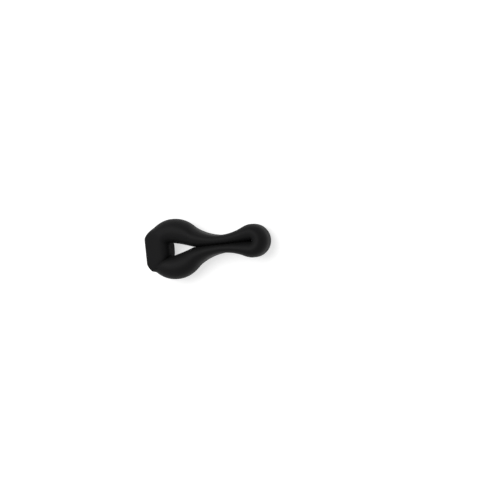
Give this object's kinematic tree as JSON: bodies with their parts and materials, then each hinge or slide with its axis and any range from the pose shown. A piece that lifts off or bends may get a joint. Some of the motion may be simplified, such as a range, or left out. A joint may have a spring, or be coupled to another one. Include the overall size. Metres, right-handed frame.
{
  "type": "massage ring",
  "caption": "Flexible silicone massage ring: a soft black loop with a thick stiff end that holds a motor capsule, at rest with its arms pressed together.",
  "frame": {"origin": "centre of the ring's outline on the surface it lies on", "axes": "+Z is the ring's axis, +X runs from the stiff capsule end to the folded tip, +Y is the left arm"},
  "size_m": [0.0792, 0.0376, 0.018],
  "materials": {
    "silicone": "soft matte",
    "shell_plastic": "satin",
    "seal_rubber": "matte",
    "button_silicone": "soft matte",
    "switch_plastic": "matte",
    "plunger_plastic": "satin",
    "board": "satin",
    "contact_gold": "polished",
    "battery_foil": "satin",
    "nickel": "satin",
    "foam": "matte",
    "steel": "satin",
    "bush_brass": "satin",
    "weight_metal": "satin",
    "cradle_plastic": "matte",
    "lead_insulation": "satin"
  },
  "bodies": {
    "pod": {"pod_sleeve": "silicone", "capsule_outer_shell": "shell_plastic", "capsule_inner_shell": "shell_plastic", "capsule_seal": "seal_rubber", "switch_body": "switch_plastic", "circuit_board": "board", "charge_contacts": "contact_gold", "battery": "battery_foil", "battery_tabs": "nickel", "battery_pad": "foam", "motor_can": "steel", "motor_end_cap": "switch_plastic", "motor_bush": "bush_brass", "motor_cradle": "cradle_plastic", "motor_leads": "lead_insulation"},
    "button": {"button_cap": "button_silicone", "switch_plunger": "plunger_plastic"},
    "motor_rotor": {"motor_shaft": "steel", "motor_weight": "weight_metal"},
    "left_shoulder": {"left_shoulder": "silicone"},
    "left_lobe": {"left_lobe": "silicone"},
    "left_neck": {"left_neck": "silicone"},
    "left_waist": {"left_waist": "silicone"},
    "left_forearm": {"left_forearm": "silicone"},
    "left_wrist": {"left_wrist": "silicone"},
    "left_tip": {"left_tip": "silicone"},
    "right_shoulder": {"right_shoulder": "silicone"},
    "right_lobe": {"right_lobe": "silicone"},
    "right_neck": {"right_neck": "silicone"},
    "right_waist": {"right_waist": "silicone"},
    "right_forearm": {"right_forearm": "silicone"},
    "right_wrist": {"right_wrist": "silicone"},
    "right_tip": {"right_tip": "silicone"}
  },
  "joints": [
    {"name": "left_shoulder_flex", "type": "hinge", "parent": "pod", "child": "left_shoulder", "pos_m": [-0.03057, 0.00814, 0.009], "axis": [0, 0, 1], "range_deg": [0, 5]},
    {"name": "loop_opening", "type": "hinge", "parent": "left_shoulder", "child": "left_lobe", "pos_m": [-0.02315, 0.01067, 0.009], "axis": [0, 0, 1], "range_deg": [0, 30], "stiffness_Nm_per_rad": 0.05, "springref_deg": 30},
    {"name": "left_neck_flex", "type": "hinge", "parent": "left_lobe", "child": "left_neck", "pos_m": [-0.01382, 0.00875, 0.009], "axis": [0, 0, 1], "range_deg": [-8, 0]},
    {"name": "left_waist_flex", "type": "hinge", "parent": "left_neck", "child": "left_waist", "pos_m": [-0.00409, 0.00463, 0.009], "axis": [0, 0, 1], "range_deg": [-23.87, 0]},
    {"name": "left_forearm_flex", "type": "hinge", "parent": "left_waist", "child": "left_forearm", "pos_m": [0.0063, 0.00309, 0.009], "axis": [0, 0, 1], "range_deg": [-26, 0]},
    {"name": "left_wrist_flex", "type": "hinge", "parent": "left_forearm", "child": "left_wrist", "pos_m": [0.01716, 0.00339, 0.009], "axis": [0, 0, 1], "range_deg": [-9.13, 0]},
    {"name": "left_tip_flex", "type": "hinge", "parent": "left_wrist", "child": "left_tip", "pos_m": [0.03072, 0.00568, 0.009], "axis": [0, 0, 1], "range_deg": [0, 32]},
    {"name": "right_shoulder_flex", "type": "hinge", "parent": "pod", "child": "right_shoulder", "pos_m": [-0.03057, -0.00814, 0.009], "axis": [0, 0, 1], "range_deg": [-5, 0]},
    {"name": "right_lobe_flex", "type": "hinge", "parent": "right_shoulder", "child": "right_lobe", "pos_m": [-0.02315, -0.01067, 0.009], "axis": [0, 0, 1], "range_deg": [-30, 0]},
    {"name": "right_neck_flex", "type": "hinge", "parent": "right_lobe", "child": "right_neck", "pos_m": [-0.01382, -0.00875, 0.009], "axis": [0, 0, 1], "range_deg": [0, 8]},
    {"name": "right_waist_flex", "type": "hinge", "parent": "right_neck", "child": "right_waist", "pos_m": [-0.00409, -0.00463, 0.009], "axis": [0, 0, 1], "range_deg": [0, 23.87]},
    {"name": "right_forearm_flex", "type": "hinge", "parent": "right_waist", "child": "right_forearm", "pos_m": [0.0063, -0.00309, 0.009], "axis": [0, 0, 1], "range_deg": [0, 26]},
    {"name": "right_wrist_flex", "type": "hinge", "parent": "right_forearm", "child": "right_wrist", "pos_m": [0.01716, -0.00339, 0.009], "axis": [0, 0, 1], "range_deg": [0, 9.13]},
    {"name": "right_tip_flex", "type": "hinge", "parent": "right_wrist", "child": "right_tip", "pos_m": [0.03072, -0.00568, 0.009], "axis": [0, 0, 1], "range_deg": [-32, 0]},
    {"name": "button_press", "type": "slide", "parent": "pod", "child": "button", "axis": [1, 0, 0], "range_m": [0, 0.0004], "stiffness_N_per_m": 150},
    {"name": "motor_spin", "type": "hinge", "parent": "pod", "child": "motor_rotor", "pos_m": [-0.0306, 0.0047, 0.009], "axis": [0, 0, 1], "continuous": true}
  ],
  "couplings": [
    {"joint": "left_shoulder_flex", "follows": "loop_opening", "ratio": 0.16667},
    {"joint": "left_neck_flex", "follows": "loop_opening", "ratio": -0.26667},
    {"joint": "left_waist_flex", "follows": "loop_opening", "ratio": -0.79563},
    {"joint": "left_forearm_flex", "follows": "loop_opening", "ratio": -0.86667},
    {"joint": "left_wrist_flex", "follows": "loop_opening", "ratio": -0.30437},
    {"joint": "left_tip_flex", "follows": "loop_opening", "ratio": 1.0667},
    {"joint": "right_shoulder_flex", "follows": "loop_opening", "ratio": -0.16667},
    {"joint": "right_lobe_flex", "follows": "loop_opening", "ratio": -1},
    {"joint": "right_neck_flex", "follows": "loop_opening", "ratio": 0.26667},
    {"joint": "right_waist_flex", "follows": "loop_opening", "ratio": 0.79563},
    {"joint": "right_forearm_flex", "follows": "loop_opening", "ratio": 0.86667},
    {"joint": "right_wrist_flex", "follows": "loop_opening", "ratio": 0.30437},
    {"joint": "right_tip_flex", "follows": "loop_opening", "ratio": -1.0667}
  ]
}
